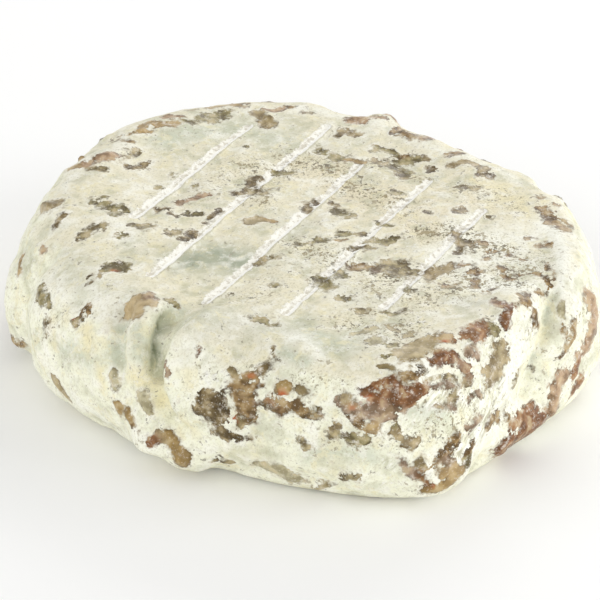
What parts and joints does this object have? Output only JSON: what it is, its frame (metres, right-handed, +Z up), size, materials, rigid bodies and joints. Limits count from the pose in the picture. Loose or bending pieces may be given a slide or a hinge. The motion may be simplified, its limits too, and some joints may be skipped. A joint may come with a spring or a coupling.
{
  "type": "cheese wheel",
  "caption": "Whole natural-rind cheese wheel: an irregular low puck with pressed rack marks, a folded side and a mottled mould-coated rind.",
  "frame": {"origin": "centre of the bounding box in plan, on the plane that the wheel rests on", "axes": "+Z up through the wheel's height; -Y towards the side with the deep fold; +X to the right seen from that side"},
  "size_m": [0.2038, 0.2068, 0.0527],
  "materials": {
    "rind": "matte cream mould coat with glossy brown patches"
  },
  "bodies": {
    "root": {"cheese_wheel": "rind"}
  },
  "joints": []
}
